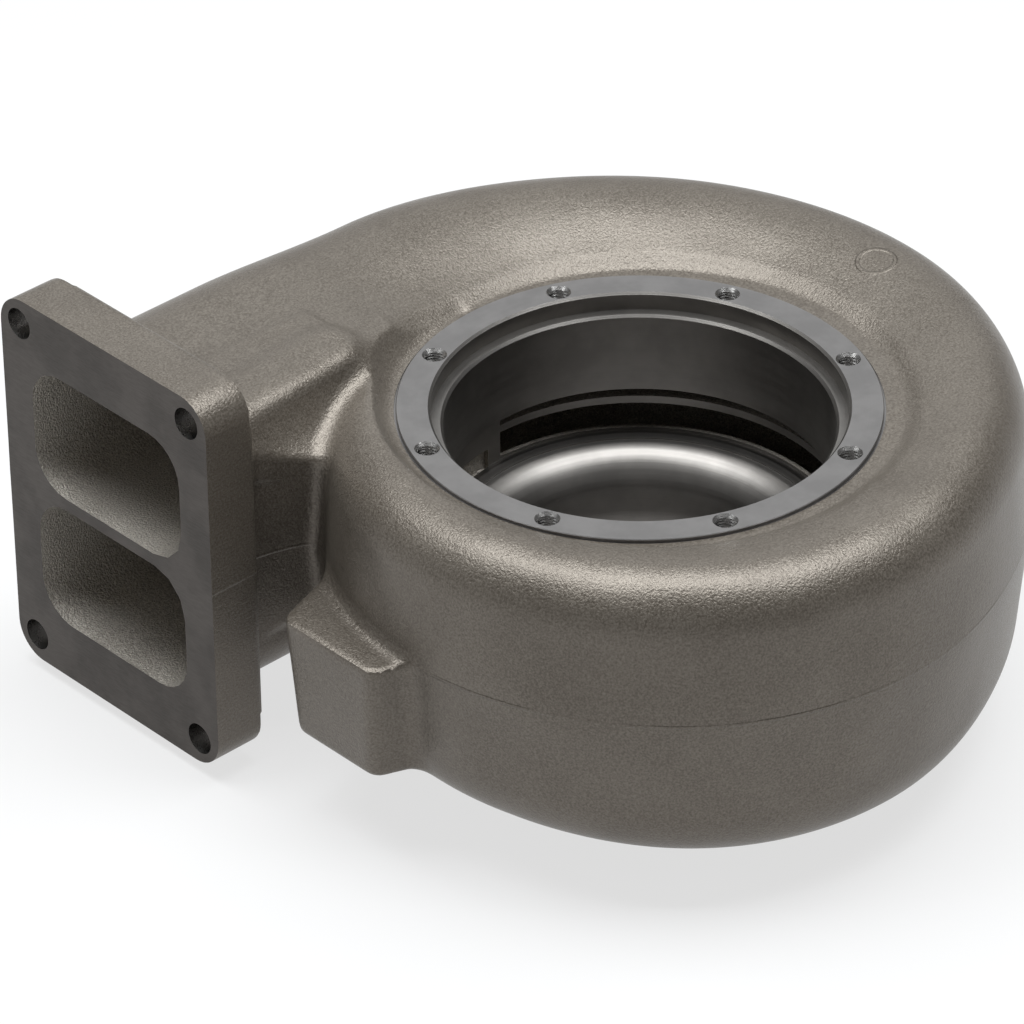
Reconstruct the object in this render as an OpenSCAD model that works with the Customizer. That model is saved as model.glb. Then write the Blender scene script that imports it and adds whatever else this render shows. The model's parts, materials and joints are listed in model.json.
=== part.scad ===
// Twin-entry turbocharger turbine housing, one iron casting.
// The origin is the centre of the machined ring that bolts to the bearing housing.
// Z points out of that ring along the wheel axis. Gas enters along X at the flange,
// runs round the spiral from Y towards X, and leaves downwards through the outlet neck.

/* [Bearing side ring] */
// Diameter of the bolt circle
bolt_circle_d = 162; // [158:0.5:166]
// Number of tapped holes
bolt_count = 8; // [6:1:12]
// Tapping drill diameter
tap_drill_d = 6.8; // [5:0.1:7.4]
// Depth of the tapped holes
tap_depth = 18; // [12:0.5:22]
// Outer diameter of the machined ring face
ring_d = 174.8; // [172:0.2:178]
// Diameter of the locating recess
recess_d = 150; // [146:0.5:152]
// Depth of the locating recess
recess_depth = 7; // [4:0.5:10]
// Height of the machined face above the cast lip around it
face_rise = 1.2; // [0.6:0.1:2]

/* [Wheel chamber] */
// Diameter of the bore between the recess and the throat
bore_d = 141; // [136:0.5:144]
// Depth at which the bore ends and the gas throat begins
bore_depth = 39; // [36:0.5:41]
// Diameter of the throat, where both gas passages open
throat_d = 143; // [142.5:0.5:145]
// Height of the throat slot nearer the ring
upper_slot = 6; // [4:0.5:7]
// Height of the throat slot nearer the outlet
lower_slot = 11; // [8:0.5:13]
// Width of the flat lip at the mouth of the wheel shroud
shroud_lip_w = 3.5; // [2:0.5:5]
// Diameter of the bore at the small end of the wheel
exducer_d = 100; // [90:0.5:108]
// Axial length of the curved shroud
shroud_len = 28; // [22:0.5:32]

/* [Outlet] */
// Depth of the outlet face below the ring face
outlet_depth = 130; // [128:0.5:136]
// Outer diameter of the clamp rim
outlet_rim_d = 140; // [134:0.5:146]
// Outer diameter of the neck above the rim
outlet_neck_d = 124; // [120:0.5:128]
// Inner diameter at the outlet face
outlet_d = 110; // [106:0.5:114]
// Thickness of the rim at its edge
rim_edge = 4; // [3:0.5:6]

/* [Spiral] */
// Outer radius of the spiral at the inlet, and after each further eighth of a turn
spiral_r_0 = 169; // [166:0.5:172]
// One eighth of a turn on
spiral_r_1 = 162.5; // [160:0.5:165]
// Two eighths on
spiral_r_2 = 155; // [152:0.5:158]
// Three eighths on
spiral_r_3 = 141; // [139:0.5:144]
// Four eighths on
spiral_r_4 = 140; // [137:0.5:142]
// Five eighths on
spiral_r_5 = 134; // [131:0.5:137]
// Six eighths on
spiral_r_6 = 124.5; // [122:0.5:127]
// Seven eighths on, where the spiral runs in under the duct
spiral_r_7 = 113; // [111:0.5:115]
// Depth of the parting plane, midway between the two gas passages
mid_depth = 46.5; // [45:0.5:48]
// Height of the crest over the ring face at the inlet
crest_inlet = 14; // [12:0.5:16]
// Height of the crest over the ring face at the small end
crest_end = 6; // [4:0.5:8]
// Mean depth of the underside
underside_depth = 109; // [106:0.5:112]
// How far the underside swings above and below that mean
underside_swing = 8.5; // [6:0.5:10]
// Corner radius of the upper edge at the inlet
top_round_inlet = 30; // [26:0.5:32]
// Corner radius of the upper edge round the rest of the spiral
top_round = 20; // [17:0.5:23]
// Corner radius of the lower edge
bottom_round = 28; // [22:0.5:30]
// Draft of the outer wall, in degrees
draft = 4.3; // [2:0.1:5]
// Wall thickness of the gas passages
wall = 7; // [6:0.5:8]

/* [Inlet flange] */
// Distance of the flange face from the wheel axis
flange_x = 147; // [144:0.5:152]
// Distance of the flange centre from the wheel axis
flange_y = 122.7; // [121:0.1:124]
// Thickness of the flange
flange_t = 22; // [18:0.5:26]
// Corner radius of the flange
flange_corner = 13; // [10:0.5:16]
// Spacing of the bolt holes across the flange
flange_pitch_w = 91.8; // [90:0.1:93]
// Spacing of the bolt holes along the flange
flange_pitch_h = 135.8; // [134:0.1:137]
// Distance from the bolt holes' centres to the flange's edges
flange_edge = 10.6; // [10:0.1:11]
// Diameter of the bolt holes
flange_hole_d = 12.2; // [10:0.1:13]
// Diameter of the spot faces on the back of the flange
spot_face_d = 24; // [22:0.5:24]
// Width of each gas port
port_w = 81; // [78:0.5:83]
// Height of each gas port
port_h = 51.5; // [48:0.5:53]
// Thickness of the rib between the ports
port_rib = 5; // [4:0.5:6]
// Corner radius of the ports
port_corner = 16; // [12:0.5:18]

/* [Inlet duct] */
// Distance of the duct's outer wall from the wheel axis
duct_outer = 176; // [173:0.5:178]
// Distance of the duct's inner wall from the wheel axis
duct_inner = 75; // [73:0.5:76]
// Depth of the duct's underside
duct_depth = 107.5; // [107:0.5:110]
// Radius of the boss on the duct
boss_r = 12.5; // [10:0.5:14]
// Distance of the boss's round end from the wheel axis, along the duct
boss_x = 69; // [65:0.5:75]
// Distance of the boss's round end from the wheel axis, across the duct
boss_y = 88; // [86:0.5:92]
// Height of the boss over the ring face
boss_top = 15; // [14:0.5:17]

/* [Support lug] */
// Distance of the lug's outer face from the wheel axis
lug_x = 139; // [136:0.5:142]
// Width of the lug's outer face
lug_w = 48; // [42:0.5:52]
// Distance of the lug's centre line from the wheel axis
lug_y = 15; // [12:0.5:18]
// Depth of the lug's underside
lug_depth = 96; // [92:0.5:98]

/* [Hidden] */

iron = "#7d776f";
turn_step = 10;       // degrees between two sections of the spiral's skin
gas_step = 15;        // degrees between two sections of a gas passage
skin_turn = 338;      // how far the skin runs, ending inside the duct
facing = 1;           // what the lathe takes off the top of the ring
hub_r = ring_d / 2 - 1.4;       // inner edge of the skin, inside the solid hub
hub_side = ring_d / 2 + 2.6;    // outer side of the solid hub
lip_shift = 3.5;                // the cast lip is set off the axis by this much
lip_shift_dir = -25;
step_rise = 4;                  // the rise from the lip to the spiral's top
step_run = 8;                   // length of that rise, and what is left of it at the small end
step_run_end = 3;
belly_in = 84;                  // inner side of the spiral below the hub
belly_round = 12;
divider = 3;                    // thickness of the divider at the throat
mouth_r = bore_d / 2 - 2.2;     // inner edge of the passages, inside the bore
mouth_step = 0.8;               // the throat is turned a little wider than the passages
tongue = 4.5;                   // thickness of the tongue at its nose
low_dir = -85;                  // direction in which the underside is lowest
flange_w = flange_pitch_w + 2 * flange_edge;
flange_h = flange_pitch_h + 2 * flange_edge;
mid_z = -mid_depth;
throat_low = mid_z - divider / 2 - lower_slot;

function ease(t) = let (u = max(0, min(1, t))) u * u * (3 - 2 * u);
function lerp(a, b, t) = a + (b - a) * t;
function arc(c, r, a0, a1, n) =
    [for (i = [0 : n]) c + r * [cos(lerp(a0, a1, i / n)), sin(lerp(a0, a1, i / n))]];

// Outer radius of the spiral at a turn from the inlet, a smooth curve through its stations
stations = [spiral_r_0, spiral_r_1, spiral_r_2, spiral_r_3,
            spiral_r_4, spiral_r_5, spiral_r_6, spiral_r_7];
function station(i) = stations[max(0, min(len(stations) - 1, i))];
function spiral_r(turn) =
    let (u = turn / 45, i = min(floor(u), len(stations) - 2), f = u - i,
         a = station(i - 1), b = station(i), c = station(i + 1), d = station(i + 2))
    0.5 * (2 * b + (c - a) * f + (2 * a - 5 * b + 4 * c - d) * f * f
           + (3 * b - a - 3 * c + d) * f * f * f);

// The crest, its rounding and the underside change along the spiral
function crest(turn) = lerp(crest_inlet, crest_end, ease(turn / 150));
function top_r(turn) = lerp(top_round_inlet, top_round, ease(turn / 150));
function underside(turn) = -underside_depth - underside_swing * cos(90 - turn - low_dir);
function lip_r(turn) = ring_d / 2 + 3.6 + lip_shift * cos(90 - turn - lip_shift_dir);

// Section of the outer skin: reach and height, from the hub outwards, down and back
function spiral_section(turn) =
    let (out = spiral_r(turn), top = crest(turn), low = underside(turn), lip = lip_r(turn),
         run = lerp(step_run, step_run_end, ease((turn - 200) / 100)),
         rt = min(top_r(turn), 0.85 * (out - 2.5 - lip - run)),
         rb = min(bottom_round, 0.6 * (out - belly_in)),
         rn = min(belly_round, 0.3 * (out - belly_in)),
         top_out = out - (top - rt - mid_z) * tan(draft),
         low_out = out - (mid_z - low - rb) * tan(draft),
         dome0 = [lip + run, step_rise - face_rise], dome1 = [top_out - rt, top])
    concat(
        [[hub_r, -face_rise]],
        [for (i = [0 : 2]) [lip + run * i / 2, -face_rise + step_rise * ease(i / 2)]],
        [[lerp(dome0[0], dome1[0], 0.45), lerp(dome0[1], dome1[1], 0.65)]],
        arc([top_out - rt, top - rt], rt, 90, 0, 4),
        [[out, mid_z]],
        arc([low_out - rb, low + rb], rb, 0, -90, 4),
        arc([belly_in + rn, low + rn], rn, -90, -180, 2),
        [[hub_r, mid_z]]);

// Section of the duct at the flange, with as many points as the spiral's
function duct_section() =
    let (top = crest_inlet, rt = top_round_inlet, rn = 26, low = -duct_depth, rb = 20,
         top_out = duct_outer - (top - rt - mid_z) * tan(draft))
    concat(
        arc([duct_inner + rn, top - rn], rn, 180, 100, 4),
        arc([top_out - rt, top - rt], rt, 90, 0, 4),
        [[duct_outer, mid_z]],
        arc([duct_outer - 3 - rb, low + rb], rb, 0, -90, 4),
        arc([duct_inner + rb, low + rb], rb, -90, -180, 2),
        [[duct_inner, mid_z]]);

function on_spiral(turn, section) =
    [for (p = section) [p[0] * sin(turn), p[0] * cos(turn), p[1]]];
function on_duct(x, section) = [for (p = section) [x, p[0], p[1]]];

// A closed solid through rings of points, each ring with the same number of them
module loft(rings) {
    n = len(rings[0]);
    m = len(rings);
    sides = [for (j = [0 : m - 2], i = [0 : n - 1], half = [0, 1])
        let (a = j * n + i, b = j * n + (i + 1) % n, c = a + n, d = b + n)
        half == 0 ? [a, b, d] : [a, d, c]];
    first = [for (i = [0 : n - 1]) n - 1 - i];
    last = [for (i = [0 : n - 1]) (m - 1) * n + i];
    polyhedron([for (ring = rings) each ring], concat(sides, [first, last]));
}

// A section drawn in a little towards the middle of the wall
function inset(section) = [for (p = section) lerp([hub_r + 30, mid_z + 5], p, 0.975)];

// The duct, from inside the flange to just inside the spiral
module duct() {
    blend_x = 70;
    xs = [-flange_x + flange_t / 2, -110, -90, -70, -55, -40, -26, -12];
    loft(concat(
        [for (x = xs)
            on_duct(x, lerp(duct_section(), spiral_section(0), ease((x + blend_x) / blend_x)))],
        [on_duct(10, inset(spiral_section(0)))]));
}

// The spiral, from just inside the duct round to where it dies away under it
module spiral() {
    loft(concat(
        [on_spiral(-5, inset(spiral_section(-5)))],
        [for (turn = [0, each [turn_step / 2 : turn_step : skin_turn - 2], skin_turn])
            on_spiral(turn, spiral_section(turn))]));
}

// Everything round the wheel axis: the ring, the hub below it down to the valley round the
// outlet neck, the neck and its clamp rim
module hub() {
    core_r = exducer_d / 2 - 6;
    neck_r = outlet_neck_d / 2;
    rim_r = outlet_rim_d / 2;
    rim_low = -outlet_depth + 5;
    cone = (rim_r - neck_r) * tan(20);
    rotate_extrude($fn = 180)
        polygon([
            [core_r, facing], [ring_d / 2, facing], [ring_d / 2, -face_rise / 2],
            [hub_side - 1, -6], [hub_side, -14], [hub_side, mid_z - 38],
            [neck_r + 8, mid_z - 44], [neck_r, mid_z - 52], [neck_r, rim_low + rim_edge + cone],
            [rim_r, rim_low + rim_edge], [rim_r, rim_low],
            [rim_r - 3, -outlet_depth], [core_r, -outlet_depth]]);
}

module flange_plate() {
    translate([-flange_x, flange_y, mid_z])
        rotate([90, 0, 90])
            linear_extrude(flange_t)
                rounded_rect(flange_w, flange_h, flange_corner);
}

module rounded_rect(w, h, r) {
    square([w - 2 * r, h], center = true);
    square([w, h - 2 * r], center = true);
    for (i = [-1, 1], j = [-1, 1])
        translate([i * (w / 2 - r), j * (h / 2 - r)]) circle(r, $fn = 64);
}

// The raised pad that runs along the duct from the flange
module duct_boss() {
    base = -8;
    spread = 1.5;
    hull() {
        translate([-boss_x, boss_y, base])
            cylinder(boss_top - base, boss_r + spread, boss_r - spread, $fn = 32);
        translate([-flange_x + flange_t, boss_y - 6, base])
            cylinder(boss_top - base, boss_r + spread, boss_r - spread, $fn = 32);
    }
}

// The lug on the lower half, flat on top at the parting plane and tapered below
module support_lug() {
    taper = 3;
    edge = 4;
    reach = 45;
    hull()
        for (level = [0, 1])
            translate([0, 0, level == 0 ? mid_z - 1 : -lug_depth])
                linear_extrude(1) {
                    t = level * taper;
                    for (s = [-1, 1])
                        translate([-lug_x + edge + t, lug_y + s * (lug_w / 2 - edge - t)])
                            circle(edge, $fn = 24);
                    translate([-lug_x + reach, lug_y]) square([2, lug_w + 6], center = true);
                }
}

// Section of one gas passage in the spiral: reach, and height from the parting plane
function gas_section(turn, upper, mouth_s) =
    let (out = spiral_r(turn) - wall,
         far = upper ? crest(turn) - wall - mid_z : mid_z - wall - underside(turn),
         near = upper ? far - crest(turn) - 1 : far,
         slot = divider / 2 + (upper ? upper_slot : lower_slot),
         side = upper ? hub_side + 1 : hub_side - 1.5,
         rf = min((upper ? top_r(turn) : bottom_round) - wall, 0.4 * (out - side)),
         rn = min(9, 0.25 * (out - side)), base = divider / 2,
         far_out = out - (far - rf) * tan(draft))
    concat(
        [[mouth_s, base]],
        arc([out - rn - 1, base + rn + 0.7], rn, -90, 0, 2),
        arc([far_out - rf, far - rf], rf, 0, 90, 3),
        arc([side + rn + 1, near - rn], rn, 90, 180, 2),
        [[side, slot + 13], [max(throat_d / 2 + 2, mouth_s + 0.5), slot],
         [mouth_s, slot - mouth_step]]);

// The port's section at the flange face, with as many points
function port_section() =
    let (s0 = flange_y - port_w / 2, s1 = flange_y + port_w / 2, r = port_corner,
         h0 = port_rib / 2, h1 = port_rib / 2 + port_h,
         corner = arc([s0 + r, h0 + r], r, 180, 270, 3))
    concat(
        [corner[3]],
        arc([s1 - r, h0 + r], r, -90, 0, 2),
        arc([s1 - r, h1 - r], r, 0, 90, 3),
        arc([s0 + r, h1 - r], r, 90, 180, 2),
        [corner[0], corner[1], corner[2]]);

// The small end of a passage shrinks onto the throat slot
function gas_loop_section(turn, upper) =
    let (start = 275, stop = 345, keep = 1 - ease((turn - start) / (stop - start)) * 0.8,
         full = gas_section(turn, upper, mouth_r),
         slot = divider / 2 + (upper ? upper_slot : lower_slot),
         root = [mouth_r, (divider / 2 + slot) / 2])
    [for (p = full) lerp(root, p, keep)];

function at_height(section, upper) =
    [for (p = section) [p[0], upper ? mid_z + p[1] : mid_z - p[1]]];

module gas_passage(upper) {
    duct_xs = [-flange_x - 4, -flange_x + 8, -122, -98, -74, -52, -32, -15, -2];
    nose_s = recess_d / 2 + tongue;
    rings = concat(
        [for (x = duct_xs)
            on_duct(x, at_height(lerp(port_section(), gas_section(0, upper, nose_s),
                                      ease((x + 115) / 113)), upper))],
        [for (turn = [3, each [gas_step - 3 : gas_step : 340], 346])
            on_spiral(turn, at_height(gas_loop_section(turn, upper), upper))]);
    if (upper)
        loft([for (ring = rings) [for (i = [len(ring) - 1 : -1 : 0]) ring[i]]]);
    else
        loft(rings);
}

// The open ring round the wheel that both passages run into
module throat() {
    rotate_extrude($fn = 60)
        polygon([[exducer_d / 2 + 4, -bore_depth], [throat_d / 2, -bore_depth],
                 [throat_d / 2, throat_low], [exducer_d / 2 + 4, throat_low]]);
}

// Resizing a group to its own size changes nothing, but takes it as one surface. It is done
// for the passages with the throat, and for the stretches of skin that run into each other.
module gas_core() {
    resize([0, 0, 0]) {
        gas_passage(true);
        gas_passage(false);
        throat();
    }
}

// Everything that is turned round the wheel axis: the ring's face, the locating recess,
// the bore, the wheel shroud and the outlet
module wheel_bore() {
    bore_r = bore_d / 2;
    recess_r = recess_d / 2;
    lip_in = throat_d / 2 - shroud_lip_w;
    ex_r = exducer_d / 2;
    lip_break = 0.3;
    shroud_low = throat_low - shroud_len;
    rotate_extrude($fn = 180)
        polygon(concat(
            [[0, 20], [ring_d / 2 + 0.8, 20], [ring_d / 2 + 0.8, 0],
             [recess_r + 0.9, 0], [recess_r, -0.9],
             [recess_r, -recess_depth], [bore_r + 1, -recess_depth],
             [bore_r, -recess_depth - 1], [bore_r, -bore_depth - 2], [lip_in, -bore_depth - 2]],
            [for (i = [0 : 8])
                [ex_r + (lip_in - ex_r) * (1 - sin(11.25 * i)),
                 throat_low - lip_break - (shroud_len - lip_break) * (1 - cos(11.25 * i))]],
            [[ex_r, shroud_low - 12], [outlet_d / 2, -outlet_depth + 6],
             [outlet_d / 2, -outlet_depth + 1], [outlet_d / 2 + 4, -outlet_depth - 3],
             [0, -outlet_depth - 3]]));
}

module ring_taps() {
    for (i = [0 : bolt_count - 1])
        rotate([0, 0, (i + 0.5) * 360 / bolt_count])
            translate([bolt_circle_d / 2, 0, -tap_depth])
                cylinder(tap_depth + 1, d = tap_drill_d, $fn = 32);
}

module flange_holes() {
    spot_depth = 1.5;
    for (i = [-1, 1], j = [-1, 1])
        translate([-flange_x, flange_y + i * flange_pitch_w / 2, mid_z + j * flange_pitch_h / 2])
            rotate([0, 90, 0]) {
                translate([0, 0, -1]) cylinder(flange_t + 2, d = flange_hole_d, $fn = 48);
                translate([0, 0, flange_t - spot_depth])
                    cylinder(spot_depth + 4, d = spot_face_d, $fn = 64);
            }
}

module skin() {
    resize([0, 0, 0]) {
        duct();
        spiral();
        duct_boss();
        support_lug();
    }
}

// The casting is made whole first, and the machined faces are cut into it last
module turbine_housing() {
    color(iron)
        difference() {
            difference() {
                union() {
                    skin();
                    hub();
                    flange_plate();
                }
                gas_core();
            }
            wheel_bore();
            ring_taps();
            flange_holes();
        }
}

turbine_housing();
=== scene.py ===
"""The looks of a cast iron, twin-entry turbocharger turbine housing.

The cast skin is a distance field, rounded where its forms meet, that is turned into a mesh.
The gas passages and every machined face are then cut into it, as they are on the real part.
Lengths are in millimetres until they go into a mesh. Z is the wheel axis, and the turn is
the angle from Y towards X, in degrees, which is the way the gas runs.
"""
import json
import math

import bpy
import numpy as np
from mathutils import Matrix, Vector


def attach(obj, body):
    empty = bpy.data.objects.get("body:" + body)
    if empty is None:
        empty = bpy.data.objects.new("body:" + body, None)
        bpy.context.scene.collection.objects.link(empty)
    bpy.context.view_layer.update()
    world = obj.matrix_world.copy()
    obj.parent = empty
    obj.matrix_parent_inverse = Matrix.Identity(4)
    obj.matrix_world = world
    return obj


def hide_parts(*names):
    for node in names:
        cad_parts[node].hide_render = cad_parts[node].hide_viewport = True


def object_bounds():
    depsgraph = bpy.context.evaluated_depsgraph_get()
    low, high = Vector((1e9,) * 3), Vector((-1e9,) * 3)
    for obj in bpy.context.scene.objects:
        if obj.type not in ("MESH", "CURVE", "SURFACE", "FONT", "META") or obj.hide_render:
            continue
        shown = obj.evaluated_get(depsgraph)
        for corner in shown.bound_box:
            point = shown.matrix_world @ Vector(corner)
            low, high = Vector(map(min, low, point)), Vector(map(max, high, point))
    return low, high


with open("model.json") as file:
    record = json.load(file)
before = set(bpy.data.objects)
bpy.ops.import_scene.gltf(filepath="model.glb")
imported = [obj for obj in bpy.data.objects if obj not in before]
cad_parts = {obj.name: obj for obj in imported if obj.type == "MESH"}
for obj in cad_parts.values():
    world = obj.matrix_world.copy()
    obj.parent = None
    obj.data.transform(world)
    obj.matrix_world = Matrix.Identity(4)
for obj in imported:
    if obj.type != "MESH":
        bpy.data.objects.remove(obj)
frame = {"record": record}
cad_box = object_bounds()

MM = 0.001
mounts = {mount["name"]: mount for mount in frame["record"]["mounts"]}


def size_of(mount, key):
    return mounts[mount]["dims"][key]


# Bearing side ring, its tapped holes, and the wheel chamber with its throat and shroud
RING_R = 87.4
RING_INSERT_DEPTH = 12
LIP_DROP = 1.2
RECESS_R = size_of("locating_recess", "r_mm")
RECESS_DEPTH = 7
RECESS_CHAMFER = 0.9
BORE_R = size_of("wheel_chamber_bore", "r_mm")
BORE_DEPTH = 39
THROAT_R = 75
SHROUD_LIP_R, SHROUD_LIP_WIDTH, SHROUD_LIP_HEIGHT = 71.6, 3.6, 0.8
EXDUCER_R = size_of("exducer_bore", "r_mm")
SHROUD_LENGTH = 28
EXDUCER_LENGTH = 12
UPPER_SLOT = 6
LOWER_SLOT = 11
DIVIDER = 3
BOLT_CIRCLE_R = size_of("bearing_housing_bolts", "pcd_mm") / 2
BOLT_COUNT = size_of("bearing_housing_bolts", "count")
TAP_R = size_of("bearing_housing_bolts", "hole_r_mm")
TAP_MOUTH_R, TAP_DEPTH, TAP_RUNOUT, TAP_TIP = 4.6, 18, 3, 1.5
THREAD_R = 4.0
THREAD_PITCH = 1.25

# Outlet
NECK_R = 62
RIM_R = size_of("outlet_rim", "r_mm")
RIM_HEIGHT, RIM_CHAMFER = 9, (3, 5)
RIM_CONE = math.radians(20)
OUTLET_R, OUTLET_CHAMFER = 55, 1
OUTLET_Z = -130

# Spiral: its outer radius at each twelfth of a turn from the inlet, and its other heights
SPIRAL_RADII = (171, 164.3, 159.6, 153.9, 144.9, 139.3, 139.6, 137.1, 130.5, 124, 116.3, 110)
STATION_TURN = 30
MID_Z = -46.5
CREST_INLET, CREST_END = 14, 6.4
UNDERSIDE, UNDERSIDE_SWING, LOWEST_TURN = -109, 8.5, 175
TOP_ROUND_INLET, TOP_ROUND = 30, 19
CREST_FALL_TURNS = 150
BOTTOM_ROUND = 27
DRAFT_UP, DRAFT_DOWN = math.radians(4.2), math.radians(4.9)
WALL = 7
SKIN_END_TURN = 336
BELLY_R, BELLY_ROUND = 84, 12

# The flat lip round the ring, and the small rise from it to the dome
LIP_WIDTH, LIP_SWING, LIP_WIDEST_TURN = 3.2, 3.5, 115
RISE, RISE_RUN_INLET, RISE_RUN_END = 3.6, 8, 3
RISE_SHORTENS = (200, 100)
DOME_SOFTNESS, DOME_START = 0.006, 0.0775

# The slope by which the duct's top comes down to the ring: its height, and where it ends
SLOPE_RISE, SLOPE_GAP, SLOPE_END_R, SLOPE_ROUND = 19, 0.8, 110, 3

# Hub: the underside round the outlet neck, as a height at a radius and its slope
HUB_MARGIN = 0.4
HUB_UNDER_R, HUB_UNDER_Z, HUB_UNDER_SLOPE = 90, -84.5, 0.5

# Inlet duct, its flange, its boss and the web beside it
FLANGE_X = -147
FLANGE_Y, FLANGE_Z = 122.7, MID_Z
FLANGE_W, FLANGE_H, FLANGE_T, FLANGE_CORNER = 112.7, 156.7, 22, 13
FLANGE_EDGE_ROUND, MILLING_STOCK = 1.6, 6
FLANGE_PITCH_W = size_of("inlet_flange_bolts", "spacing_x_mm")
FLANGE_PITCH_H = size_of("inlet_flange_bolts", "spacing_y_mm")
FLANGE_HOLE_R = size_of("inlet_flange_bolts", "hole_r_mm")
SPOT_FACE_R, SPOT_FACE_DEPTH = 12, 1.5
PORT_W, PORT_H, PORT_RIB, PORT_CORNER = 81, 51.5, 5, 16
DUCT_OUTER, DUCT_INNER, DUCT_LOW = 176, 75, -107.5
DUCT_INNER_TOP_ROUND, DUCT_OUTER_LOW_ROUND, DUCT_INNER_LOW_ROUND = 26, 22, 20
DUCT_BLEND = 70
DUCT_WIDENING, WIDENING_X, WIDENING_Z = 20, (-80, 60), (-30, 20)
BOSS_END, BOSS_ROOT, BOSS_R, BOSS_TOP = (-69, 89), (-140, 84), 10.5, 15
BOSS_FALL, BOSS_DRAFT, BOSS_ROUND, BOSS_FOOT = 1.6, 0.1, 5.5, -8
DIMPLE_DEPTH, DIMPLE_SPREAD, DIMPLE_OFFSET = 1.1, 14, 2
WEB_TOP, WEB_TOP_NORMAL = (-97, 77, 4), (0.087, -0.653, 0.752)
WEB_EDGE, WEB_EDGE_NORMAL = (-123, 71, -5), (-0.373, -0.928, -0.12)
WEB_RISE, WEB_END_X, WEB_FOOT, WEB_BACK_Y, WEB_ROUND = 8, -62, -80, 110, 1.2

# Support lug: three sides of its top, as a point on each and its outward direction
LUG_LOW = -95.5
LUG_TAPER = 3.2
LUG_FACE_X = -139
LUG_SIDES = (((LUG_FACE_X, 15), (-1, 0)),
             ((LUG_FACE_X, 38.9), (-0.316, 0.949)),
             ((-136.6, -9), (-0.358, -0.934)))
LUG_DEPTH_IN = 50
LUG_CORNER_BACK, LUG_CORNER_NEAR, LUG_TOP_ROUND, LUG_LOW_ROUND = 5, 4, 1.8, 3

# Fillets where the cast forms meet, and where the duct's fillets fade out
NECK_FILLET, VALLEY_FILLET, WEB_FILLET, BOSS_FILLET = 6, 7, 5, 7
DUCT_FILLET, LUG_FILLET, FLANGE_FILLET = 8, 5, 4
FADE_X, FADE_LENGTH = -2, 25

# Gas passages: the inner sides round the wheel, the shape of their end, and their stations
SIDE_UPPER, SIDE_LOWER = 91, 88.5
TAIL_TURN, TAIL_TURNS, TAIL_SHRINK = 275, 70, 0.8
DUCT_STATIONS = [FLANGE_X - 12, FLANGE_X] + list(range(-138, -2, 8)) + [-2]
SPIRAL_STATIONS = [3] + list(range(7, 345, 5)) + [346, 351, 356]
PORT_END_X, PORT_CHANGE = -115, 113

# Marks on the casting: the parting line, and a bare ring on the dome
PARTING_OFFSET, PARTING_HEIGHT = 0.3, 0.3
MARK_X, MARK_R, MARK_HEIGHT = 121.0, 7.0, 0.4

FIELD_STEP = 1.5
SKIN_TRIANGLES = 125000
SHARP_ANGLE = math.radians(32)

CAST, PASSAGE, TURNED, BORED, MILLED, DRILLED = range(6)


# Curves that both the skin and the passages follow

def ease(t):
    """From 0 to 1, level at both ends."""
    u = np.clip(t, 0, 1)
    return u * u * (3 - 2 * u)


def lerp(a, b, t):
    return a + (b - a) * t


def spiral_radius(turn):
    """A smooth curve through the stations."""
    last = len(SPIRAL_RADII) - 1
    radii = np.array(SPIRAL_RADII, float)
    u = np.clip(np.asarray(turn, float) / STATION_TURN, 0, last)
    i = np.minimum(np.floor(u).astype(int), last - 1)
    f = u - i
    a, b = radii[np.maximum(i - 1, 0)], radii[i]
    c, d = radii[i + 1], radii[np.minimum(i + 2, last)]
    return 0.5 * (2 * b + (c - a) * f + (2 * a - 5 * b + 4 * c - d) * f**2
                  + (3 * b - a - 3 * c + d) * f**3)


def crest(turn):
    """Height of the dome's top."""
    return lerp(CREST_INLET, CREST_END, ease(np.asarray(turn, float) / CREST_FALL_TURNS))


def top_round(turn):
    """Radius where the dome turns into the outer wall."""
    return lerp(TOP_ROUND_INLET, TOP_ROUND, ease(np.asarray(turn, float) / CREST_FALL_TURNS))


def underside(turn):
    """Height of the spiral's lowest line."""
    return UNDERSIDE - UNDERSIDE_SWING * np.cos(np.radians(np.asarray(turn, float) - LOWEST_TURN))


# Distance fields, negative inside

def round_cut(a, b, radius):
    """What is inside both, with their edge rounded."""
    u, v = np.maximum(a + radius, 0), np.maximum(b + radius, 0)
    return np.minimum(-radius, np.maximum(a, b)) + np.sqrt(u * u + v * v)


def round_join(a, b, radius):
    """What is inside either, with a fillet where they meet."""
    u, v = np.maximum(radius - a, 0), np.maximum(radius - b, 0)
    return np.maximum(radius, np.minimum(a, b)) - np.sqrt(u * u + v * v)


def box_field(across, up, half_w, half_h, corner):
    """A rectangle with round corners."""
    u = np.abs(across) - (half_w - corner)
    v = np.abs(up) - (half_h - corner)
    outside = np.sqrt(np.maximum(u, 0)**2 + np.maximum(v, 0)**2)
    return outside + np.minimum(np.maximum(u, v), 0) - corner


def plane_field(x, y, z, point, normal):
    """What is behind a plane through the point."""
    (px, py, pz), (nx, ny, nz) = point, normal
    return nx * (x - px) + ny * (y - py) + nz * (z - pz)


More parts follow.
